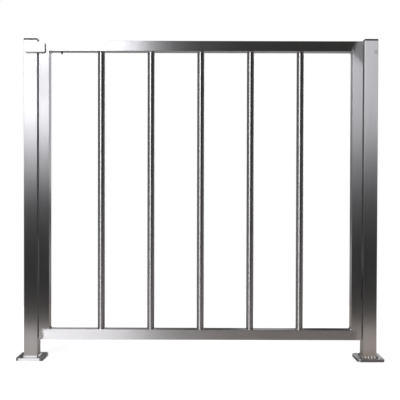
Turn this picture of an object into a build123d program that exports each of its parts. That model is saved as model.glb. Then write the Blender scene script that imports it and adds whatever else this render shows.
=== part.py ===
"""Waist-high access gate: two posts on foot plates and a barred leaf that swings to the rear.

Millimetres. The origin is the middle of the underside of the hinge post's foot plate.
+Z is up, -Y is the front, and the latch post stands at -X.
"""

import os

from build123d import *

# Posts, square tube
post_size = 40.0
post_wall = 2.0
post_corner = 1.5
post_bore_corner = 0.8
gate_height = 950.0
clear_width = 965.0

# Foot plates and the weld round each post
plate_size = 80.0
plate_thickness = 8.0
plate_corner = 10.0
plate_edge = 0.8
bolt_edge = 10.0
bolt_hole = 9.0
weld_leg = 3.5
weld_crown = 0.8

# Insert caps on the posts
cap_thickness = 5.0
cap_edge = 1.2
cap_plug_depth = 14.0
cap_plug_clearance = 0.2

# Leaf frame, mitred square tube
leaf_bottom = 60.0
leaf_drop = 7.0
side_gap = 5.0
frame_size = 30.0
frame_wall = 2.0
frame_corner = 0.8
frame_bore_corner = 0.4

# Upright bars, round tube
bar_count = 5
bar_pitch = 147.5
bar_diameter = 21.3
bar_wall = 1.6

# Catch block on the front of the latch post
catch_width = 62.0
catch_height = 30.0
catch_depth = 11.0
catch_corner = 5.0
catch_edge = 2.0
catch_inset = 3.0
catch_drop = 13.0
catch_clearance = 5.0

# Barrel hinges behind the hinge stile
barrel_diameter = 16.0
barrel_height = 40.0
barrel_edge = 0.8
barrel_floor = 4.0
barrel_clearance = 1.5
pin_diameter = 8.0
pin_seat_clearance = 0.02
pin_running_clearance = 0.06
pin_end_gap = 1.0
washer_thickness = 2.0
hinge_inset = 110.0

# Peg under the top rail
peg_diameter = 5.0
peg_length = 7.0
peg_edge = 1.0
peg_from_latch_edge = 65.0

# Places worked out from the sizes above
latch_post_x = -(clear_width + post_size)
bolt_spacing = plate_size - 2 * bolt_edge
post_front = -post_size / 2
post_face = -post_size / 2
leaf_right = post_face - side_gap
leaf_left = latch_post_x + post_size / 2 + side_gap
leaf_width = leaf_right - leaf_left
leaf_middle = (leaf_left + leaf_right) / 2
leaf_top = gate_height - leaf_drop
leaf_height = leaf_top - leaf_bottom
leaf_y = post_front + frame_size / 2
leaf_rear = post_front + frame_size
hinge_x = post_face - barrel_clearance - barrel_diameter / 2
hinge_y = leaf_rear + barrel_clearance + barrel_diameter / 2
wing_width = barrel_diameter / 2
lower_hinge_z = leaf_bottom + hinge_inset
upper_hinge_z = leaf_top - hinge_inset - 2 * barrel_height - washer_thickness

os.makedirs("parts", exist_ok=True)


def keep_piece(piece, label):
    """Label a finished piece and write it to its own file."""
    piece.label = label
    export_step(piece, "parts/" + label + ".step")


def square_tube(size, wall, corner, bore_corner):
    """Draw the section of a square tube with rounded corners in the open sketch."""
    RectangleRounded(size, size, corner)
    RectangleRounded(size - 2 * wall, size - 2 * wall, bore_corner, mode=Mode.SUBTRACT)


def cut_mitre(x, z, lean, side):
    """Cut the open piece at 45 degrees through a corner of the leaf and keep one side."""
    split(bisect_by=Plane(origin=(x, leaf_y, z), z_dir=(lean, 0, 1)), keep=side)


# Posts, each with its foot plate, weld and cap
for post_name, post_x in (("latch_post", latch_post_x), ("hinge_post", 0.0)):
    with BuildPart() as post_tube:
        with BuildSketch(Plane.XY.offset(plate_thickness)):
            with Locations((post_x, 0)):
                square_tube(post_size, post_wall, post_corner, post_bore_corner)
        extrude(amount=gate_height - cap_thickness - plate_thickness)
    keep_piece(post_tube.part, post_name + "_tube")

    with BuildPart() as foot_plate:
        with BuildSketch():
            with Locations((post_x, 0)):
                RectangleRounded(plate_size, plate_size, plate_corner)
        extrude(amount=plate_thickness)
        chamfer(foot_plate.faces().sort_by(Axis.Z)[-1].edges(), plate_edge)
        with Locations((post_x, 0, plate_thickness)):
            with GridLocations(bolt_spacing, bolt_spacing, 2, 2):
                Hole(bolt_hole / 2)
    keep_piece(foot_plate.part, post_name + "_foot_plate")

    with BuildPart() as foot_weld:
        with BuildSketch(Plane.XY.offset(plate_thickness)) as weld_base:
            with Locations((post_x, 0)):
                RectangleRounded(post_size + 2 * weld_leg, post_size + 2 * weld_leg, post_corner + weld_leg)
        with BuildSketch(Plane.XY.offset(plate_thickness + weld_leg)) as weld_top:
            with Locations((post_x, 0)):
                RectangleRounded(post_size + 2 * weld_crown, post_size + 2 * weld_crown, post_corner + weld_crown)
        loft()
        with BuildSketch(Plane.XY.offset(plate_thickness)):
            with Locations((post_x, 0)):
                RectangleRounded(post_size, post_size, post_corner)
        extrude(amount=weld_leg, mode=Mode.SUBTRACT)
    keep_piece(foot_weld.part, post_name + "_foot_weld")

    with BuildPart() as post_cap:
        with BuildSketch(Plane.XY.offset(gate_height - cap_thickness)):
            with Locations((post_x, 0)):
                RectangleRounded(post_size, post_size, post_corner)
        extrude(amount=cap_thickness)
        fillet(post_cap.faces().sort_by(Axis.Z)[-1].edges(), cap_edge)
        plug_size = post_size - 2 * post_wall - 2 * cap_plug_clearance
        with BuildSketch(Plane.XY.offset(gate_height - cap_thickness)):
            with Locations((post_x, 0)):
                RectangleRounded(plug_size, plug_size, post_bore_corner)
        extrude(amount=-cap_plug_depth)
    keep_piece(post_cap.part, post_name + "_cap")

# Catch block: seated on the latch post, set back from the stile that it overlaps
catch_left = latch_post_x - post_size / 2 + catch_inset
catch_middle_z = gate_height - catch_drop - catch_height / 2
with BuildPart() as catch_block:
    with BuildSketch(Plane.XZ.offset(-post_front)):
        with Locations((catch_left + catch_width / 2, catch_middle_z)):
            RectangleRounded(catch_width, catch_height, catch_corner)
    extrude(amount=catch_depth)
    fillet(catch_block.faces().sort_by(Axis.Y)[0].edges(), catch_edge)
    step_left = latch_post_x + post_size / 2
    with BuildSketch(Plane.XZ.offset(-post_front)):
        with Locations((step_left + catch_width / 2, catch_middle_z)):
            Rectangle(catch_width, catch_height)
    extrude(amount=catch_clearance, mode=Mode.SUBTRACT)
keep_piece(catch_block.part, "catch_block")

# Leaf stiles, mitred at both ends
for stile_name, stile_x, edge_x, lean in (
    ("latch_stile", leaf_left + frame_size / 2, leaf_left, 1),
    ("hinge_stile", leaf_right - frame_size / 2, leaf_right, -1),
):
    with BuildPart() as stile:
        with BuildSketch(Plane.XY.offset(leaf_bottom)):
            with Locations((stile_x, leaf_y)):
                square_tube(frame_size, frame_wall, frame_corner, frame_bore_corner)
        extrude(amount=leaf_height)
        cut_mitre(edge_x, leaf_top, lean, Keep.BOTTOM)
        cut_mitre(edge_x, leaf_bottom, -lean, Keep.TOP)
    keep_piece(stile.part, stile_name)

# Leaf rails, mitred to meet the stiles
for rail_name, rail_z, edge_z, lean, side in (
    ("top_rail", leaf_top - frame_size / 2, leaf_top, 1, Keep.TOP),
    ("bottom_rail", leaf_bottom + frame_size / 2, leaf_bottom, -1, Keep.BOTTOM),
):
    with BuildPart() as rail:
        with BuildSketch(Plane.YZ.offset(leaf_left)):
            with Locations((leaf_y, rail_z)):
                square_tube(frame_size, frame_wall, frame_corner, frame_bore_corner)
        extrude(amount=leaf_width)
        cut_mitre(leaf_left, edge_z, lean, side)
        cut_mitre(leaf_right, edge_z, -lean, side)
    keep_piece(rail.part, rail_name)

# Upright bars between the rails, counted from the latch side
for bar_index in range(bar_count):
    bar_x = leaf_middle + (bar_index - (bar_count - 1) / 2) * bar_pitch
    with BuildPart() as bar:
        with BuildSketch(Plane.XY.offset(leaf_bottom + frame_size)):
            with Locations((bar_x, leaf_y)):
                Circle(bar_diameter / 2)
                Circle(bar_diameter / 2 - bar_wall, mode=Mode.SUBTRACT)
        extrude(amount=leaf_height - 2 * frame_size)
    keep_piece(bar.part, "bar_" + str(bar_index + 1))

# Peg under the top rail
with BuildPart() as peg:
    with BuildSketch(Plane.XY.offset(leaf_top - frame_size)):
        with Locations((leaf_left + peg_from_latch_edge, leaf_y)):
            Circle(peg_diameter / 2)
    extrude(amount=-peg_length)
    fillet(peg.faces().sort_by(Axis.Z)[0].edges(), peg_edge)
keep_piece(peg.part, "top_rail_peg")

# Barrel hinges: the post half carries the pin and washer, the leaf half turns on them
for hinge_name, hinge_z in (("lower_hinge", lower_hinge_z), ("upper_hinge", upper_hinge_z)):
    pin_bottom = hinge_z + barrel_floor
    leaf_barrel_z = hinge_z + barrel_height + washer_thickness
    leaf_bore_top = leaf_barrel_z + barrel_height - barrel_floor

    with BuildPart() as post_barrel:
        with BuildSketch(Plane.XY.offset(hinge_z)):
            with Locations((hinge_x, hinge_y)):
                Circle(barrel_diameter / 2)
        extrude(amount=barrel_height)
        chamfer(post_barrel.faces().sort_by(Axis.Z)[0].edges(), barrel_edge)
        with BuildSketch(Plane.XY.offset(hinge_z + barrel_edge)):
            wing_length = post_face - hinge_x
            with Locations((hinge_x + wing_length / 2, hinge_y - wing_width / 2)):
                Rectangle(wing_length, wing_width)
        extrude(amount=barrel_height - 2 * barrel_edge)
        with BuildSketch(Plane.XY.offset(pin_bottom)):
            with Locations((hinge_x, hinge_y)):
                Circle(pin_diameter / 2 + pin_seat_clearance)
        extrude(amount=barrel_height - barrel_floor, mode=Mode.SUBTRACT)
    keep_piece(post_barrel.part, hinge_name + "_post_barrel")

    with BuildPart() as leaf_barrel:
        with BuildSketch(Plane.XY.offset(leaf_barrel_z)):
            with Locations((hinge_x, hinge_y)):
                Circle(barrel_diameter / 2)
        extrude(amount=barrel_height)
        chamfer(leaf_barrel.faces().sort_by(Axis.Z)[-1].edges(), barrel_edge)
        with BuildSketch(Plane.XY.offset(leaf_barrel_z + barrel_edge)):
            wing_length = hinge_y - leaf_rear
            with Locations((hinge_x - wing_width / 2, leaf_rear + wing_length / 2)):
                Rectangle(wing_width, wing_length)
        extrude(amount=barrel_height - 2 * barrel_edge)
        with BuildSketch(Plane.XY.offset(leaf_barrel_z)):
            with Locations((hinge_x, hinge_y)):
                Circle(pin_diameter / 2 + pin_running_clearance)
        extrude(amount=leaf_bore_top - leaf_barrel_z, mode=Mode.SUBTRACT)
    keep_piece(leaf_barrel.part, hinge_name + "_leaf_barrel")

    with BuildPart() as pin:
        with BuildSketch(Plane.XY.offset(pin_bottom)):
            with Locations((hinge_x, hinge_y)):
                Circle(pin_diameter / 2)
        extrude(amount=leaf_bore_top - pin_end_gap - pin_bottom)
    keep_piece(pin.part, hinge_name + "_pin")

    with BuildPart() as washer:
        with BuildSketch(Plane.XY.offset(hinge_z + barrel_height)):
            with Locations((hinge_x, hinge_y)):
                Circle(barrel_diameter / 2)
                Circle(pin_diameter / 2 + pin_running_clearance, mode=Mode.SUBTRACT)
        extrude(amount=washer_thickness)
    keep_piece(washer.part, hinge_name + "_washer")
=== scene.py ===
"""Looks for the waist-high access gate: satin steel, black caps, weld beads, studio and camera.

Metres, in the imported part's own frame: the origin is under the hinge post, -Y is the front.
"""

import math

import bmesh
import bpy
from mathutils import Matrix, Vector


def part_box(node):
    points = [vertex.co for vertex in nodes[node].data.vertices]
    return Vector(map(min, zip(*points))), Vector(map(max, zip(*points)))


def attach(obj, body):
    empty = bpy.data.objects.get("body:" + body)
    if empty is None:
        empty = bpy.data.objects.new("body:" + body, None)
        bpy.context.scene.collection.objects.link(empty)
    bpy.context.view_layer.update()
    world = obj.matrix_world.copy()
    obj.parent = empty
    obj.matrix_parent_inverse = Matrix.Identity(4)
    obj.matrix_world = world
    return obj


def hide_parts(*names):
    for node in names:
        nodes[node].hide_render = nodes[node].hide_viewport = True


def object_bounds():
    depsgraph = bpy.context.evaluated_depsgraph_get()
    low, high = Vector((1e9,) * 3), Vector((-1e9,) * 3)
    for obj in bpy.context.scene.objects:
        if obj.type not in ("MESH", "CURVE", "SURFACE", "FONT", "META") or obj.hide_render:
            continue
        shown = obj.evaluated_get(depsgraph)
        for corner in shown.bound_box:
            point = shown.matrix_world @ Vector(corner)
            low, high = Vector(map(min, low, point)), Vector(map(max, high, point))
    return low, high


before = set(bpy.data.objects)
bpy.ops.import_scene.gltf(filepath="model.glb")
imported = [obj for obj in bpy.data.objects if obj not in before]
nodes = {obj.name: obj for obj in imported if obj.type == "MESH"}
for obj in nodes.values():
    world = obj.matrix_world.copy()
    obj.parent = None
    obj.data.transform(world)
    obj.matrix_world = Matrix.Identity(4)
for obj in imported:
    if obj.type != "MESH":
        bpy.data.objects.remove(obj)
cad_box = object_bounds()
scene = bpy.context.scene

# Camera, read from the photograph
CAMERA_PLACE = (-0.50035, -1.957, 0.49864)
CAMERA_YAW = -0.11
CAMERA_PITCH = -0.72
CAMERA_ROLL = 0.16
FOCAL_PIXELS = 655.8
IMAGE_PIXELS = 400
SENSOR_WIDTH = 36.0

# Studio
FLOOR_SIDES = (-3.2, 2.2)
FLOOR_FRONT = (-0.34, -0.60)
FLOOR_REAR = 0.9
FLOOR_WHITE = (0.80, 0.80, 0.80)
# Floor colours seen in reflections and bounced light: darker towards the right; the rear colour is
# painted shade and the under colour a painted shadow
FLOOR_LEFT_TINT = (0.80, 0.755, 0.73)
FLOOR_RIGHT_TINT = (0.58, 0.52, 0.48)
FLOOR_REAR_TINT = (0.45, 0.42, 0.40)
FLOOR_UNDER_TINT = (0.16, 0.15, 0.14)
FLOOR_GLOW = 0.52
FLOOR_REAR_FADE = (-0.02, 0.10)
FLOOR_UNDER_FADE = (0.028, 0.056)
ROOM_LOW = (-6.0, -4.3, -0.01)
ROOM_HIGH = (5.0, 4.3, 4.2)
FRONT_WALL = 0.026
FRONT_WALL_HIGH = 0.041
FRONT_RISE = (1.0, 2.0)
LEFT_WALL = 0.086
RIGHT_WALL = 0.043
SIDE_FADE = (2.0, 4.5)
REAR_WALL = 0.095
REAR_GROUND = 0.45
REAR_GROUND_FADE = (FLOOR_REAR, 1.6)
REAR_STRIP_LOW = 0.43
REAR_STRIP_HIGH = 1.55
STRIP_RISE = (0.7, 1.9)
STRIP_LEFT_EDGE = (-0.2, 0.1)
STRIP_RIGHT_EDGE = (0.3, 0.6)
CEILING_LEFT = 1.3
CEILING_RIGHT = 0.052
CEILING_FADE = (-2.4, -1.4)
CEILING_DEPTH_FADE = (-0.3, 0.3)
CEILING_REAR_SHARE = 0.1
AMBIENT_LIGHT = 0.6

# Lamps: corners as (x, z), distance along Y
COOL_LIGHT = (0.985, 0.98, 1.03)
LAMP_DISTANCE = 4.0
KEY_LOW = (-3.4, 1.0)
KEY_HIGH = (-1.12, 4.0)
KEY_RADIANCE = 5.5
BAND_LOW = (-3.4, 0.62)
BAND_HIGH = (-1.9, 1.0)
BAND_RADIANCE = 2.8
REAR_LAMP_LOW = (1.2, 0.5)
REAR_LAMP_HIGH = (3.4, 2.6)
REAR_LAMP_RADIANCE = 2.6

# Finishes
STEEL_COLOUR = (0.72, 0.72, 0.72)
HEAT_TINT = (0.58, 0.50, 0.42)
LATCH_HEAT = 0.10
HINGE_HEAT = 0.45
WELD_COLOUR = (0.79, 0.78, 0.77)
WELD_TINT = (0.56, 0.50, 0.44)
CLEAN_WELD_SHADE = 0.9
BLACK_PLASTIC = (0.012, 0.012, 0.013)
PEG_COLOUR = (0.05, 0.042, 0.038)
BRASS_COLOUR = (0.70, 0.50, 0.22)
CATCH_COLOUR = (0.90, 0.90, 0.91)
POST_ROUGHNESS = 0.36
LEAF_ROUGHNESS = 0.335
UPRIGHT_DULLING = 0.030
BAR_ROUGHNESS = 0.33
GRIND_RELIEF = 0.05
BAR_RELIEF = 0.01
PLATE_ROUGHNESS = 0.40
BARREL_ROUGHNESS = 0.26
PIN_ROUGHNESS = 0.18
WASHER_ROUGHNESS = 0.30
WELD_ROUGHNESS = (0.26, 0.42)
CATCH_ROUGHNESS = (0.34, 0.42)
CAP_ROUGHNESS = 0.5
PEG_ROUGHNESS = 0.55
NOISE_SPAN = (0.3, 0.7)
LINE_DULLING = 0.02
LINE_SHADE = 0.5
SMEAR_SPAN = (0.52, 0.75)
SMEAR_DULLING = 0.04
MARK_SPAN = (0.35, 0.7)
MARK_SHADE = 0.8
HEAT_REACH = (0.008, 0.040)
HEAT_RAGGED = 0.012
SMUDGE_PLACE = (0.0145, -0.020, 0.911)
SMUDGE_REACH = 0.009
SMUDGE_CORE = 0.4
SMUDGE_RAGGED = 0.004
SMUDGE_SHADE = 0.45
SMUDGE_DARKENING = 0.45
SMUDGE_DULLING = 0.08
DUST_PALING = 0.02
QUARTER_TURN = 0.25

# Darkest and lightest share of the steel's colour
POST_SHADES = (0.88, 1.0)
LEAF_SHADES = (0.86, 1.0)
# Stiles and ground corners: random tone, lowered overall as painted shade
UPRIGHT_SHADES = (0.80, 0.93)
BAR_SHADES = (0.72, 0.84)
PLATE_SHADES = (0.64, 1.06)
TURNED_SHADES = (0.78, 1.0)
CATCH_SHADES = (0.94, 1.0)

# How the leaf's corners are ground: shares, and distances from its opening
TOP_CORNER_GRIND = 0.42
LOW_CORNER_GRIND = 0.95
TOP_CORNER_FADE = (-0.008, 0.010)
LOW_CORNER_FADE = (0.010, 0.023)
TOP_STILE_FADE = (-0.030, 0.016)
LOW_STILE_FADE = (-0.004, 0.004)
INNER_EDGE_FADE = (-0.006, -0.001)
GRIND_RAGGED = 0.004
MITRE_SLOPE = 0.4
STILE_SLANT = 0.8
MIDDLE_BLEND = 0.1
SCRATCH_BLEND = 0.03
SCRATCH_SPAN = (0.36, 0.64)
SCRATCH_LEVELS = (0.02, 0.98)

# Noise, in cells per metre along each axis
LINES_UP = (900.0, 900.0, 5.0)
LINES_ACROSS = (5.0, 900.0, 900.0)
LINES_ROUND = (8.0, 8.0, 900.0)
HANDLING_MARKS = (9.0, 9.0, 9.0)
HEAT_EDGE = (40.0, 40.0, 60.0)
SMUDGE_EDGE = (260.0, 260.0, 260.0)
GRIND_PATCHES = (70.0, 70.0, 70.0)
CORNER_SCRATCHES = (9000.0, 9000.0, 900.0)
PLATE_MOTTLE = (140.0, 140.0, 140.0)
TURNED_RINGS = (30.0, 30.0, 1200.0)
TURNED_CLOUD = (60.0, 60.0, 60.0)
WELD_CLOUD = (95.0, 95.0, 95.0)
WELD_GRAIN = (420.0, 420.0, 420.0)
MOULD_GRAIN = (1400.0, 1400.0, 1400.0)
MOULD_DUST = (60.0, 60.0, 60.0)
CATCH_GRAIN = (500.0, 500.0, 500.0)
CATCH_CLOUD = (45.0, 45.0, 45.0)

# Welds
POST_CORNER = 0.0015
FOOT_LEG = {"latch_post": 0.0045, "hinge_post": 0.0052}
FOOT_PITCH = {"latch_post": 0.008, "hinge_post": 0.0095}
FOOT_RIPPLE = {"latch_post": 0.15, "hinge_post": 0.65}
CORNER_LEG = 0.004
CORNER_PITCH = 0.004
BAR_LEG = 0.0016
BAR_PITCH = 0.003
HINGE_LEG = 0.002
HINGE_WELD_INSET = 0.002
BARREL_EDGE = 0.0008
BEAD_STEP = 0.0007
BEAD_SECTION = 7
BEAD_SINK = 0.0004
BEAD_RIPPLE = 0.3
BEAD_END = 0.35
BEAD_LEAD = 0.35
BEAD_MEAN_WAVE = 0.6
BEAD_ROUNDNESS = 0.85
CORNER_WELD_INSET = 0.0008
BARREL_WELD_INSET = 0.0005

# Sizes read from the frame
stile_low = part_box("hinge_stile")[0]
latch_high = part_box("latch_stile")[1]
rail_low, rail_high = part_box("top_rail")
sill_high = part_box("bottom_rail")[1]
leaf_middle = (rail_low[0] + rail_high[0]) / 2
leaf_inside = stile_low[0] - leaf_middle
leaf_centre = (sill_high[2] + rail_low[2]) / 2
leaf_opening = (rail_low[2] - sill_high[2]) / 2


def material(name):
    """Return a new node material, its node tree and its main shader."""
    made = bpy.data.materials.new(name)
    made.use_nodes = True
    tree = made.node_tree
    return made, tree, tree.nodes["Principled BSDF"]


def add(tree, kind, **settings):
    """Add a node to a tree and set its properties."""
    node = tree.nodes.new(kind)
    for key, value in settings.items():
        setattr(node, key, value)
    return node


def place_of(tree):
    """Return the place on the part, in metres in the part's own frame."""
    return add(tree, "ShaderNodeTexCoord").outputs["Object"]


def noise(tree, stretch, detail):
    """Add noise with a count of cells per metre along each axis."""
    mapping = add(tree, "ShaderNodeMapping")
    mapping.inputs["Scale"].default_value = stretch
    node = add(tree, "ShaderNodeTexNoise")
    node.inputs["Scale"].default_value = 1.0
    node.inputs["Detail"].default_value = detail
    tree.links.new(place_of(tree), mapping.inputs["Vector"])
    tree.links.new(mapping.outputs["Vector"], node.inputs["Vector"])
    return node.outputs["Fac"]


def remap(tree, value, low, high, to_low, to_high, smooth=False):
    """Map a value from one range to another, clamped."""
    node = add(tree, "ShaderNodeMapRange", clamp=True)
    if smooth:
        node.interpolation_type = "SMOOTHSTEP"
    tree.links.new(value, node.inputs["Value"])
    node.inputs["From Min"].default_value = low
    node.inputs["From Max"].default_value = high
    node.inputs["To Min"].default_value = to_low
    node.inputs["To Max"].default_value = to_high
    return node.outputs["Result"]


def combine(tree, operation, first, second=0.0):
    """Combine two values with a math node; a plain number may stand for the second."""
    node = add(tree, "ShaderNodeMath", operation=operation)
    tree.links.new(first, node.inputs[0])
    if isinstance(second, float):
        node.inputs[1].default_value = second
    else:
        tree.links.new(second, node.inputs[1])
    return node.outputs["Value"]


def mix_values(tree, factor, first, second):
    """Mix two values by a factor."""
    node = add(tree, "ShaderNodeMix", data_type="FLOAT")
    tree.links.new(factor, node.inputs[0])
    tree.links.new(first, node.inputs[2])
    tree.links.new(second, node.inputs[3])
    return node.outputs[0]


def mix_vectors(tree, factor, first, second):
    """Mix two vectors by a factor."""
    node = add(tree, "ShaderNodeMix", data_type="VECTOR")
    tree.links.new(factor, node.inputs[0])
    tree.links.new(first, node.inputs[4])
    tree.links.new(second, node.inputs[5])
    return node.outputs[1]


def mix_colours(tree, factor, first, second):
    """Mix two colours by a factor; each is a colour or a node's output."""
    node = add(tree, "ShaderNodeMix", data_type="RGBA")
    tree.links.new(factor, node.inputs[0])
    for socket, colour in ((node.inputs[6], first), (node.inputs[7], second)):
        if isinstance(colour, tuple):
            socket.default_value = (*colour, 1.0)
        else:
            tree.links.new(colour, socket)
    return node.outputs[2]


def axis_value(tree, axis):
    """Return one coordinate of the place on the part."""
    node = add(tree, "ShaderNodeSeparateXYZ")
    tree.links.new(place_of(tree), node.inputs[0])
    return node.outputs[axis]


def distance_to(tree, point):
    """Return the distance from a point of the part."""
    node = add(tree, "ShaderNodeVectorMath", operation="DISTANCE")
    tree.links.new(place_of(tree), node.inputs[0])
    node.inputs[1].default_value = point
    return node.outputs["Value"]


def feed(tree, shader, socket, value):
    """Link a node's output to one of a shader's sockets, by name or number."""
    tree.links.new(value, shader.inputs[socket])


def tangent(tree, axis):
    """Return the direction round an axis, along which ground steel spreads its gloss."""
    return add(tree, "ShaderNodeTangent", direction_type="RADIAL", axis=axis).outputs["Tangent"]


def bumped(tree, shader, height, strength, distance):
    """Add a bump from a height value to a shader."""
    node = add(tree, "ShaderNodeBump")
    node.inputs["Strength"].default_value = strength
    node.inputs["Distance"].default_value = distance
    tree.links.new(height, node.inputs["Height"])
    feed(tree, shader, "Normal", node.outputs["Normal"])


def shaded(colour, share):
    """Return a colour times a share."""
    return tuple(part * share for part in colour)


def shades(tree, factor, colour, shares):
    """Mix a darker and a lighter shade of a colour by a factor."""
    return mix_colours(tree, factor, shaded(colour, shares[0]), shaded(colour, shares[1]))


def ground_finish(tree, shader, lines, roughness, relief=GRIND_RELIEF):
    """Fine grinding lines and faint handling marks; returns their roughness and their shade."""
    shader.inputs["Metallic"].default_value = 1.0
    shader.inputs["Anisotropic"].default_value = 1.0
    marks = noise(tree, HANDLING_MARKS, 4.0)
    smears = remap(tree, marks, *SMEAR_SPAN, 0.0, SMEAR_DULLING)
    ground = remap(tree, lines, *NOISE_SPAN, roughness - LINE_DULLING, roughness + LINE_DULLING)
    bumped(tree, shader, lines, strength=relief, distance=0.0002)
    line_shade = remap(tree, lines, *NOISE_SPAN, LINE_SHADE, 1.0)
    mark_shade = remap(tree, marks, *MARK_SPAN, 1.0, MARK_SHADE)
    shade = combine(tree, "MULTIPLY", line_shade, mark_shade)
    return combine(tree, "ADD", ground, smears), shade


def post_steel():
    """Posts: ground along their length, a touch of heat tint above the foot weld and one thumb mark."""
    made, tree, shader = material("satin_steel_post")
    feed(tree, shader, "Tangent", tangent(tree, "Z"))
    gloss, shade = ground_finish(tree, shader, noise(tree, LINES_UP, 3.0), POST_ROUGHNESS)
    steel = shades(tree, shade, STEEL_COLOUR, POST_SHADES)
    wander = remap(tree, noise(tree, HEAT_EDGE, 3.0), *NOISE_SPAN, -HEAT_RAGGED, HEAT_RAGGED)
    height = combine(tree, "ADD", axis_value(tree, 2), wander)
    heat = remap(tree, height, *HEAT_REACH, 1.0, 0.0, True)
    side = remap(tree, axis_value(tree, 0), cad_box[0][0], cad_box[1][0], LATCH_HEAT, HINGE_HEAT)
    steel = mix_colours(tree, combine(tree, "MULTIPLY", heat, side), steel, HEAT_TINT)
    ragged = remap(tree, noise(tree, SMUDGE_EDGE, 4.0), 0.35, 0.65, -SMUDGE_RAGGED, SMUDGE_RAGGED)
    reach = combine(tree, "ADD", distance_to(tree, SMUDGE_PLACE), ragged)
    thumb = remap(tree, reach, SMUDGE_REACH * SMUDGE_CORE, SMUDGE_REACH, 1.0, 0.0, True)
    smudge = combine(tree, "MULTIPLY", thumb, SMUDGE_DARKENING)
    steel = mix_colours(tree, smudge, steel, shaded(STEEL_COLOUR, SMUDGE_SHADE))
    duller = combine(tree, "MULTIPLY", thumb, SMUDGE_DULLING)
    feed(tree, shader, "Base Color", steel)
    feed(tree, shader, "Roughness", combine(tree, "ADD", gloss, duller))
    return made


def leaf_steel():
    """Leaf frame: rails ground along their length; stiles and welded corners ground upright, darker as
    painted shade.
    """
    made, tree, shader = material("satin_steel_leaf")
    patches = remap(tree, noise(tree, GRIND_PATCHES, 2.0), *NOISE_SPAN, -GRIND_RAGGED, GRIND_RAGGED)
    across = combine(tree, "ABSOLUTE", combine(tree, "SUBTRACT", axis_value(tree, 0), leaf_middle))
    above = combine(tree, "ABSOLUTE", combine(tree, "SUBTRACT", axis_value(tree, 2), leaf_centre))
    past_edge = combine(tree, "SUBTRACT", across, leaf_inside)
    past_inside = combine(tree, "ADD", past_edge, patches)
    mitre = combine(tree, "MULTIPLY", combine(tree, "SUBTRACT", above, leaf_opening), MITRE_SLOPE)
    past_mitre = combine(tree, "SUBTRACT", past_inside, mitre)
    top_corner = remap(tree, past_mitre, *TOP_CORNER_FADE, 0.0, TOP_CORNER_GRIND, True)
    low_corner = remap(tree, past_inside, *LOW_CORNER_FADE, 0.0, LOW_CORNER_GRIND, True)
    middle = (leaf_centre - MIDDLE_BLEND, leaf_centre + MIDDLE_BLEND)
    upper = remap(tree, axis_value(tree, 2), *middle, 0.0, 1.0)
    corner = mix_values(tree, upper, low_corner, top_corner)
    slant = combine(tree, "ADD", above, combine(tree, "MULTIPLY", past_inside, STILE_SLANT))
    top_fade = [leaf_opening + past for past in TOP_STILE_FADE]
    top_stile = remap(tree, slant, *top_fade, 1.0, 0.0, True)
    ragged = combine(tree, "ADD", above, patches)
    low_fade = [leaf_opening + past for past in LOW_STILE_FADE]
    low_stile = remap(tree, ragged, *low_fade, 1.0, 0.0)
    between = mix_values(tree, upper, low_stile, top_stile)
    stile = combine(tree, "MULTIPLY", between, remap(tree, past_edge, *INNER_EDGE_FADE, 0.0, 1.0))
    scratches = remap(tree, noise(tree, CORNER_SCRATCHES, 1.0), *SCRATCH_SPAN, *SCRATCH_LEVELS)
    ground_over = combine(tree, "SUBTRACT", combine(tree, "MAXIMUM", corner, stile), scratches)
    upright = remap(tree, ground_over, -SCRATCH_BLEND, SCRATCH_BLEND, 0.0, 1.0)
    way = mix_vectors(tree, upright, tangent(tree, "X"), tangent(tree, "Z"))
    lines = mix_values(tree, upright, noise(tree, LINES_ACROSS, 3.0), noise(tree, LINES_UP, 3.0))
    gloss, shade = ground_finish(tree, shader, lines, LEAF_ROUGHNESS)
    duller = combine(tree, "MULTIPLY", upright, UPRIGHT_DULLING)
    bright = shades(tree, shade, STEEL_COLOUR, LEAF_SHADES)
    # Stiles and ground corners get a darker copy of the leaf steel: painted shade
    dull = shades(tree, shade, STEEL_COLOUR, UPRIGHT_SHADES)
    feed(tree, shader, "Tangent", way)
    feed(tree, shader, "Roughness", combine(tree, "ADD", gloss, duller))
    feed(tree, shader, "Base Color", mix_colours(tree, upright, bright, dull))
    return made


def bar_steel():
    """Bars: tube ground round its girth."""
    made, tree, shader = material("satin_steel_bar")
    shader.inputs["Anisotropic Rotation"].default_value = QUARTER_TURN
    feed(tree, shader, "Tangent", tangent(tree, "Z"))
    lines = noise(tree, LINES_ROUND, 3.0)
    gloss, shade = ground_finish(tree, shader, lines, BAR_ROUGHNESS, BAR_RELIEF)
    feed(tree, shader, "Roughness", gloss)
    feed(tree, shader, "Base Color", shades(tree, shade, STEEL_COLOUR, BAR_SHADES))
    return made


def plate_steel():
    """Foot plates: pickled plate, ground along its edges, slightly mottled."""
    made, tree, shader = material("pickled_plate")
    faces = add(tree, "ShaderNodeSeparateXYZ")
    tree.links.new(add(tree, "ShaderNodeNewGeometry").outputs["True Normal"], faces.inputs[0])
    upper = remap(tree, faces.outputs[2], 0.85, 0.95, 0.0, 1.0)
    way = mix_vectors(tree, upper, tangent(tree, "X"), tangent(tree, "Y"))
    gloss, shade = ground_finish(tree, shader, noise(tree, PLATE_MOTTLE, 5.0), PLATE_ROUGHNESS)
    feed(tree, shader, "Tangent", way)
    feed(tree, shader, "Roughness", gloss)
    feed(tree, shader, "Base Color", shades(tree, shade, STEEL_COLOUR, PLATE_SHADES))
    return made


def turned_metal(name, colour, roughness):
    """Turned barrels, pins and washers: fine turning rings, slightly mottled."""
    made, tree, shader = material(name)
    shader.inputs["Metallic"].default_value = 1.0
    rings = noise(tree, TURNED_RINGS, 3.0)
    cloud = noise(tree, TURNED_CLOUD, 3.0)
    gloss = remap(tree, rings, *NOISE_SPAN, roughness - 0.05, roughness + 0.07)
    feed(tree, shader, "Roughness", gloss)
    feed(tree, shader, "Base Color", shades(tree, cloud, colour, TURNED_SHADES))
    bumped(tree, shader, rings, strength=0.08, distance=0.0002)
    return made


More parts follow.
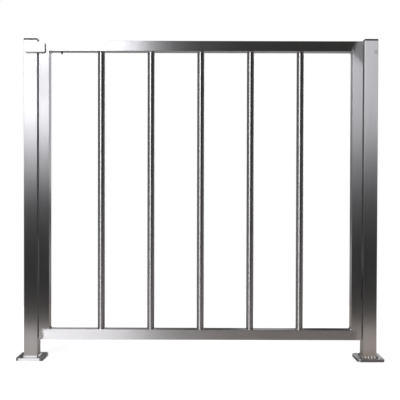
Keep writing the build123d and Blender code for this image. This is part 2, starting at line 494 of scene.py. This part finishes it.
def weld_steel(name, tint):
    """Weld metal: bright, clouded with a heat tint."""
    made, tree, shader = material(name)
    shader.inputs["Metallic"].default_value = 1.0
    cloud = noise(tree, WELD_CLOUD, 3.0)
    feed(tree, shader, "Roughness", remap(tree, cloud, *NOISE_SPAN, *WELD_ROUGHNESS))
    feed(tree, shader, "Base Color", mix_colours(tree, cloud, tint, WELD_COLOUR))
    bumped(tree, shader, noise(tree, WELD_GRAIN, 3.0), strength=0.2, distance=0.0003)
    return made


def moulded(name, colour, roughness):
    """Moulded black plastic or rubber with a fine grain and a little dust."""
    made, tree, shader = material(name)
    shader.inputs["Specular IOR Level"].default_value = 0.2
    grain = noise(tree, MOULD_GRAIN, 2.0)
    dust = noise(tree, MOULD_DUST, 4.0)
    gloss = remap(tree, grain, *NOISE_SPAN, roughness - 0.06, roughness + 0.08)
    dusty = tuple(part + DUST_PALING for part in colour)
    dusted = remap(tree, dust, 0.5, 0.8, 0.0, 0.6)
    feed(tree, shader, "Roughness", gloss)
    feed(tree, shader, "Base Color", mix_colours(tree, dusted, colour, dusty))
    bumped(tree, shader, grain, strength=0.15, distance=0.0001)
    return made


def catch_finish():
    """Catch block: cast body under a pale satin lacquer."""
    made, tree, shader = material("catch_satin")
    grain = noise(tree, CATCH_GRAIN, 3.0)
    cloud = noise(tree, CATCH_CLOUD, 3.0)
    feed(tree, shader, "Roughness", remap(tree, grain, *NOISE_SPAN, *CATCH_ROUGHNESS))
    feed(tree, shader, "Base Color", shades(tree, cloud, CATCH_COLOUR, CATCH_SHADES))
    bumped(tree, shader, grain, strength=0.06, distance=0.0001)
    return made


def dress(node, made):
    """Give a CAD node its finished material."""
    slots = nodes[node].data.materials
    slots.clear()
    slots.append(made)


steel_post = post_steel()
steel_leaf = leaf_steel()
steel_bar = bar_steel()
steel_plate = plate_steel()
steel_hinge = turned_metal("hinge_steel", STEEL_COLOUR, BARREL_ROUGHNESS)
steel_pin = turned_metal("pin_steel", STEEL_COLOUR, PIN_ROUGHNESS)
brass = turned_metal("washer_brass", BRASS_COLOUR, WASHER_ROUGHNESS)
weld_metal = weld_steel("weld_metal", WELD_TINT)
clean_weld = weld_steel("clean_weld", shaded(WELD_COLOUR, CLEAN_WELD_SHADE))
black_plastic = moulded("black_plastic", BLACK_PLASTIC, CAP_ROUGHNESS)
peg_rubber = moulded("peg_rubber", PEG_COLOUR, PEG_ROUGHNESS)

for post in ("latch_post", "hinge_post"):
    dress(post + "_tube", steel_post)
    dress(post + "_foot_plate", steel_plate)
    dress(post + "_foot_weld", weld_metal)
    dress(post + "_cap", black_plastic)
for member in ("latch_stile", "hinge_stile", "top_rail", "bottom_rail"):
    dress(member, steel_leaf)
for bar in range(1, 6):
    dress("bar_" + str(bar), steel_bar)
for hinge in ("lower_hinge", "upper_hinge"):
    dress(hinge + "_post_barrel", steel_hinge)
    dress(hinge + "_leaf_barrel", steel_hinge)
    dress(hinge + "_pin", steel_pin)
    dress(hinge + "_washer", brass)
dress("catch_block", catch_finish())
dress("top_rail_peg", peg_rubber)


def add_bead(mesh, path, leg, pitch, ripple, closed):
    """Add a rippled fillet weld along a path of (corner point, out, up, length so far)."""
    rings = []
    whole = path[-1][3]
    for corner, out, up, run in path:
        from_end = 1.0 if closed else min(1.0, BEAD_END + min(run, whole - run) / leg)
        ring = [mesh.verts.new(corner - (out + up) * BEAD_SINK)]
        for step in range(BEAD_SECTION):
            share = step / (BEAD_SECTION - 1)
            lead = BEAD_LEAD * math.sin(math.pi * share)
            wave = abs(math.sin(math.pi * (run / pitch - lead))) - BEAD_MEAN_WAVE
            reach = leg * from_end * (1.0 + ripple * wave)
            angle = share * math.pi / 2
            sideways = reach * math.cos(angle) ** BEAD_ROUNDNESS - BEAD_SINK
            upwards = reach * math.sin(angle) ** BEAD_ROUNDNESS - BEAD_SINK
            ring.append(mesh.verts.new(corner + out * sideways + up * upwards))
        rings.append(ring)
    count = len(rings)
    sides = len(rings[0])
    for index in range(count if closed else count - 1):
        here, there = rings[index], rings[(index + 1) % count]
        for side in range(sides):
            after = (side + 1) % sides
            mesh.faces.new((here[side], here[after], there[after], there[side]))
    if not closed:
        mesh.faces.new(rings[0])
        mesh.faces.new(rings[-1])


def round_square(middle, half, corner, low):
    """Path round a square post with rounded corners, at the height where its weld sits."""
    path = []
    run = 0.0
    flat = half - corner
    base = middle + Vector((0, 0, low))
    up = Vector((0, 0, 1))
    for quarter in range(4):
        turn = Matrix.Rotation(quarter * math.pi / 2, 3, "Z")
        steps = max(2, round(2 * flat / BEAD_STEP))
        for step in range(steps):
            along = -flat + 2 * flat * step / steps
            spot = turn @ Vector((along, -half, 0.0))
            path.append((base + spot, turn @ Vector((0, -1, 0)), up, run))
            run += 2 * flat / steps
        steps = max(2, round(corner * math.pi / 2 / BEAD_STEP))
        for step in range(steps):
            angle = -math.pi / 2 + math.pi / 2 * step / steps
            way = turn @ Vector((math.cos(angle), math.sin(angle), 0))
            spot = turn @ Vector((flat, -flat, 0)) + way * corner
            path.append((base + spot, way, up, run))
            run += corner * math.pi / 2 / steps
    return path, run


def round_bar(middle, radius, up):
    """Path round a bar where it meets a rail."""
    length = 2 * math.pi * radius
    steps = round(length / BEAD_STEP)
    path = []
    for step in range(steps):
        angle = 2 * math.pi * step / steps
        way = Vector((math.cos(angle), math.sin(angle), 0))
        path.append((middle + way * radius, way, up, length * step / steps))
    return path, length


def straight(start, end, out, up):
    """Path along a straight corner."""
    length = (end - start).length
    steps = round(length / BEAD_STEP)
    return [(start.lerp(end, step / steps), out, up, length * step / steps) for step in range(steps + 1)]


def whole_pitch(length, pitch):
    """Return the pitch nearest to the one asked for that divides a closed length evenly."""
    return length / round(length / pitch)


def piece(name, mesh, made, body):
    """Link a finished bmesh as a named piece that rides on a body."""
    bmesh.ops.recalc_face_normals(mesh, faces=mesh.faces)
    data = bpy.data.meshes.new(name)
    mesh.to_mesh(data)
    mesh.free()
    data.materials.append(made)
    for polygon in data.polygons:
        polygon.use_smooth = True
    made_piece = bpy.data.objects.new(name, data)
    scene.collection.objects.link(made_piece)
    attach(made_piece, body)
    return made_piece


# Weld round the foot of each post
FOOT_METAL = {"latch_post": clean_weld, "hinge_post": weld_metal}
for post in ("latch_post", "hinge_post"):
    low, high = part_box(post + "_tube")
    middle = Vector(((low[0] + high[0]) / 2, (low[1] + high[1]) / 2, 0.0))
    path, length = round_square(middle, (high[0] - low[0]) / 2, POST_CORNER, low[2])
    mesh = bmesh.new()
    pitch = whole_pitch(length, FOOT_PITCH[post])
    add_bead(mesh, path, FOOT_LEG[post], pitch, FOOT_RIPPLE[post], True)
    bead = piece(post + "_foot_bead", mesh, FOOT_METAL[post], "posts")
    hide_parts(post + "_foot_weld")

# Welds at both ends of each bar
for bar in range(1, 6):
    low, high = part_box("bar_" + str(bar))
    radius = (high[0] - low[0]) / 2
    mesh = bmesh.new()
    for height, up in ((low[2], Vector((0, 0, 1))), (high[2], Vector((0, 0, -1)))):
        middle = Vector(((low[0] + high[0]) / 2, (low[1] + high[1]) / 2, height))
        path, length = round_bar(middle, radius, up)
        add_bead(mesh, path, BAR_LEG, whole_pitch(length, BAR_PITCH), BEAD_RIPPLE, True)
    piece("bar_" + str(bar) + "_beads", mesh, weld_metal, "leaf")

# Welds in the four inner corners of the leaf
mesh = bmesh.new()
for side, out in ((latch_high[0], Vector((1, 0, 0))), (stile_low[0], Vector((-1, 0, 0)))):
    for height, up in ((sill_high[2], Vector((0, 0, 1))), (rail_low[2], Vector((0, 0, -1)))):
        start = Vector((side, rail_low[1] + CORNER_WELD_INSET, height))
        end = Vector((side, rail_high[1] - CORNER_WELD_INSET, height))
        path = straight(start, end, out, up)
        add_bead(mesh, path, CORNER_LEG, CORNER_PITCH, BEAD_RIPPLE, False)
piece("leaf_corner_beads", mesh, clean_weld, "leaf")

# Welds that hold the leaf barrels, along both sides of each wing
mesh = bmesh.new()
for hinge in ("lower_hinge", "upper_hinge"):
    low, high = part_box(hinge + "_leaf_barrel")
    for side, out in ((low[0], Vector((-1, 0, 0))), ((low[0] + high[0]) / 2, Vector((1, 0, 0)))):
        start = Vector((side, low[1], low[2] + HINGE_WELD_INSET))
        end = Vector((side, low[1], high[2] - HINGE_WELD_INSET))
        path = straight(start, end, out, Vector((0, 1, 0)))
        add_bead(mesh, path, HINGE_LEG, BAR_PITCH, BEAD_RIPPLE, False)
piece("leaf_hinge_beads", mesh, weld_metal, "leaf")

# Welds that hold the post barrels, at both ends of each wing
mesh = bmesh.new()
for hinge in ("lower_hinge", "upper_hinge"):
    low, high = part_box(hinge + "_post_barrel")
    for height, up in ((low[2], Vector((0, 0, -1))), (high[2], Vector((0, 0, 1)))):
        edge = height - up[2] * BARREL_EDGE
        start = Vector((high[0], low[1] + BARREL_WELD_INSET, edge))
        end = Vector((high[0], (low[1] + high[1]) / 2 - BARREL_WELD_INSET, edge))
        path = straight(start, end, Vector((-1, 0, 0)), up)
        add_bead(mesh, path, HINGE_LEG, BAR_PITCH, BEAD_RIPPLE, False)
piece("post_hinge_beads", mesh, weld_metal, "posts")


def floor_material():
    """Pale floor that reads as the white background and still darkens under the object; to reflections
    it is darker to the right, with painted shade behind the leaf and a painted shadow under it.
    """
    made = bpy.data.materials.new("pale_floor")
    made.use_nodes = True
    tree = made.node_tree
    tree.nodes.clear()
    out = add(tree, "ShaderNodeOutputMaterial")
    warm = add(tree, "ShaderNodeBsdfDiffuse")
    side = remap(tree, axis_value(tree, 0), cad_box[0][0], cad_box[1][0], 0.0, 1.0)
    tint = mix_colours(tree, side, FLOOR_LEFT_TINT, FLOOR_RIGHT_TINT)
    depth = axis_value(tree, 1)
    # Painted shade behind the leaf and a painted shadow in a band under it
    behind = remap(tree, depth, *FLOOR_REAR_FADE, 0.0, 1.0, True)
    tint = mix_colours(tree, behind, tint, FLOOR_REAR_TINT)
    under = remap(tree, combine(tree, "ABSOLUTE", depth), *FLOOR_UNDER_FADE, 1.0, 0.0, True)
    feed(tree, warm, "Color", mix_colours(tree, under, tint, FLOOR_UNDER_TINT))
    pale = add(tree, "ShaderNodeBsdfDiffuse")
    pale.inputs["Color"].default_value = (*FLOOR_WHITE, 1.0)
    glow = add(tree, "ShaderNodeEmission")
    glow.inputs["Color"].default_value = (1.0, 1.0, 1.0, 1.0)
    glow.inputs["Strength"].default_value = FLOOR_GLOW
    both = add(tree, "ShaderNodeAddShader")
    ray = add(tree, "ShaderNodeLightPath")
    choose = add(tree, "ShaderNodeMixShader")
    feed(tree, both, 0, pale.outputs["BSDF"])
    feed(tree, both, 1, glow.outputs["Emission"])
    feed(tree, choose, "Fac", ray.outputs["Is Camera Ray"])
    feed(tree, choose, 1, warm.outputs["BSDF"])
    feed(tree, choose, 2, both.outputs["Shader"])
    feed(tree, out, "Surface", choose.outputs["Shader"])
    return made


def wall_material():
    """Dark studio walls with a pale strip and ground at the rear and a pale ceiling at the left."""
    made = bpy.data.materials.new("studio_wall")
    made.use_nodes = True
    tree = made.node_tree
    tree.nodes.clear()
    out = add(tree, "ShaderNodeOutputMaterial")
    glow = add(tree, "ShaderNodeEmission")
    glow.inputs["Color"].default_value = (1.0, 1.0, 1.0, 1.0)
    sideways = axis_value(tree, 0)
    depth = axis_value(tree, 1)
    height = axis_value(tree, 2)
    rear = remap(tree, depth, 0.0, ROOM_HIGH[1], 0.0, 1.0, True)
    sides = remap(tree, sideways, ROOM_LOW[0], ROOM_HIGH[0], LEFT_WALL, RIGHT_WALL)
    edge = remap(tree, combine(tree, "ABSOLUTE", sideways), *SIDE_FADE, 0.0, 1.0, True)
    plain = remap(tree, height, *FRONT_RISE, FRONT_WALL, FRONT_WALL_HIGH)
    front = mix_values(tree, edge, plain, sides)
    strip_left = remap(tree, sideways, *STRIP_LEFT_EDGE, 0.0, 1.0, True)
    strip_right = remap(tree, sideways, *STRIP_RIGHT_EDGE, 1.0, 0.0, True)
    pale_strip = combine(tree, "MULTIPLY", strip_left, strip_right)
    low = remap(tree, pale_strip, 0.0, 1.0, REAR_WALL, REAR_STRIP_LOW)
    high = remap(tree, pale_strip, 0.0, 1.0, REAR_WALL, REAR_STRIP_HIGH)
    rise = remap(tree, height, *STRIP_RISE, 0.0, 1.0, True)
    walls = mix_values(tree, rear, front, mix_values(tree, rise, low, high))
    overhead = remap(tree, height, ROOM_HIGH[2] - 0.2, ROOM_HIGH[2] - 0.1, 0.0, 1.0)
    pale = remap(tree, sideways, *CEILING_FADE, CEILING_LEFT, CEILING_RIGHT, True)
    ahead = remap(tree, depth, *CEILING_DEPTH_FADE, 1.0, CEILING_REAR_SHARE, True)
    ceiling = combine(tree, "MULTIPLY", pale, ahead)
    level = mix_values(tree, overhead, walls, ceiling)
    beneath = remap(tree, height, 0.0, 0.02, REAR_GROUND, 0.0)
    behind = remap(tree, depth, *REAR_GROUND_FADE, 0.0, 1.0, True)
    level = combine(tree, "ADD", level, combine(tree, "MULTIPLY", beneath, behind))
    feed(tree, glow, "Strength", level)
    feed(tree, out, "Surface", glow.outputs["Emission"])
    return made


def stage_mesh(name, mesh, made):
    """Link a bmesh as part of the studio."""
    data = bpy.data.meshes.new(name)
    mesh.to_mesh(data)
    mesh.free()
    data.materials.append(made)
    made_piece = bpy.data.objects.new(name, data)
    scene.collection.objects.link(made_piece)
    return made_piece


# Floor: pale, and white to the camera with a soft contact shadow
floor_mesh = bmesh.new()
floor_corners = (
    (FLOOR_SIDES[0], FLOOR_FRONT[0]),
    (FLOOR_SIDES[1], FLOOR_FRONT[1]),
    (FLOOR_SIDES[1], FLOOR_REAR),
    (FLOOR_SIDES[0], FLOOR_REAR),
)
floor_mesh.faces.new([floor_mesh.verts.new((x, y, 0.0)) for x, y in floor_corners])
stage_mesh("floor", floor_mesh, floor_material())

# Studio walls that only the steel's reflections see
room_mesh = bmesh.new()
bmesh.ops.create_cube(room_mesh, size=1.0)
room_low, room_high = Vector(ROOM_LOW), Vector(ROOM_HIGH)
room_size = room_high - room_low
bmesh.ops.transform(
    room_mesh,
    matrix=Matrix.Translation((room_low + room_high) / 2) @ Matrix.Diagonal((*room_size, 1.0)),
    verts=room_mesh.verts,
)
room = stage_mesh("studio_room", room_mesh, wall_material())
for ray_kind in ("camera", "diffuse", "transmission", "volume_scatter", "shadow"):
    setattr(room, "visible_" + ray_kind, False)


def softbox(name, low, high, y, towards, radiance):
    """Add an upright soft lamp between two (x, z) corners, facing along Y."""
    width, height = high[0] - low[0], high[1] - low[1]
    lamp = bpy.data.lights.new(name, "AREA")
    lamp.shape = "RECTANGLE"
    lamp.size = width
    lamp.size_y = height
    lamp.color = COOL_LIGHT
    lamp.energy = radiance * math.pi * width * height
    holder = bpy.data.objects.new(name, lamp)
    scene.collection.objects.link(holder)
    holder.location = ((low[0] + high[0]) / 2, y, (low[1] + high[1]) / 2)
    holder.rotation_euler = Vector((0.0, towards, 0.0)).to_track_quat("-Z", "Y").to_euler()
    return holder


softbox("key_softbox", KEY_LOW, KEY_HIGH, -LAMP_DISTANCE, 1.0, KEY_RADIANCE)
softbox("key_lower_band", BAND_LOW, BAND_HIGH, -LAMP_DISTANCE, 1.0, BAND_RADIANCE)
softbox("rear_softbox", REAR_LAMP_LOW, REAR_LAMP_HIGH, LAMP_DISTANCE, -1.0, REAR_LAMP_RADIANCE)

# World: white behind the object, even fill on it
world = bpy.data.worlds.new("studio")
scene.world = world
world.use_nodes = True
sky = world.node_tree
sky.nodes.clear()
sky_out = add(sky, "ShaderNodeOutputWorld")
white = add(sky, "ShaderNodeBackground")
white.inputs["Color"].default_value = (1.0, 1.0, 1.0, 1.0)
white.inputs["Strength"].default_value = 1.0
fill = add(sky, "ShaderNodeBackground")
fill.inputs["Color"].default_value = (1.0, 1.0, 1.0, 1.0)
fill.inputs["Strength"].default_value = AMBIENT_LIGHT
rays = add(sky, "ShaderNodeLightPath")
seen = combine(sky, "MAXIMUM", rays.outputs["Is Camera Ray"], rays.outputs["Is Glossy Ray"])
seen = combine(sky, "MAXIMUM", seen, rays.outputs["Is Transmission Ray"])
sky_mix = add(sky, "ShaderNodeMixShader")
feed(sky, sky_mix, "Fac", seen)
feed(sky, sky_mix, 1, fill.outputs["Background"])
feed(sky, sky_mix, 2, white.outputs["Background"])
feed(sky, sky_out, "Surface", sky_mix.outputs["Shader"])
scene.view_settings.view_transform = "Standard"

# Camera
camera = bpy.data.objects.new("camera", bpy.data.cameras.new("camera"))
scene.collection.objects.link(camera)
camera.data.sensor_fit = "HORIZONTAL"
camera.data.sensor_width = SENSOR_WIDTH
camera.data.lens = FOCAL_PIXELS / IMAGE_PIXELS * SENSOR_WIDTH
turn_yaw = Matrix.Rotation(math.radians(-CAMERA_YAW), 4, "Z")
turn_pitch = Matrix.Rotation(math.radians(90.0 + CAMERA_PITCH), 4, "X")
turn_roll = Matrix.Rotation(math.radians(CAMERA_ROLL), 4, "Z")
camera.matrix_world = Matrix.Translation(CAMERA_PLACE) @ turn_yaw @ turn_pitch @ turn_roll
scene.camera = camera
